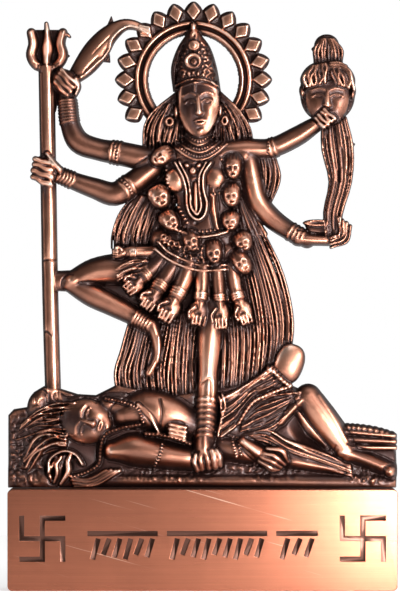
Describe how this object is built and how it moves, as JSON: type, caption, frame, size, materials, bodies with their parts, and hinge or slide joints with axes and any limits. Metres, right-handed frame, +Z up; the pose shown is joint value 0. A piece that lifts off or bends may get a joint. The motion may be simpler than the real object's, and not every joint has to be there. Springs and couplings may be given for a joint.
{
  "type": "devotional relief statuette",
  "caption": "Copper-finished relief of a many-armed goddess with a halo standing on a reclining figure, cast with a flat back and set in an engraved block plinth.",
  "frame": {"origin": "centre of the plinth's underside", "axes": "+Z up the figure, the relief faces -Y, +X towards the arm that holds the bowl"},
  "size_m": [0.1326, 0.024, 0.2005],
  "materials": {
    "antique_copper": "antique copper plating, dark brown in the recesses and polished bright on the high parts",
    "brushed_copper": "satin copper plating brushed lengthways"
  },
  "bodies": {
    "root": {"relief_casting": "antique_copper", "plinth": "brushed_copper"}
  },
  "joints": []
}
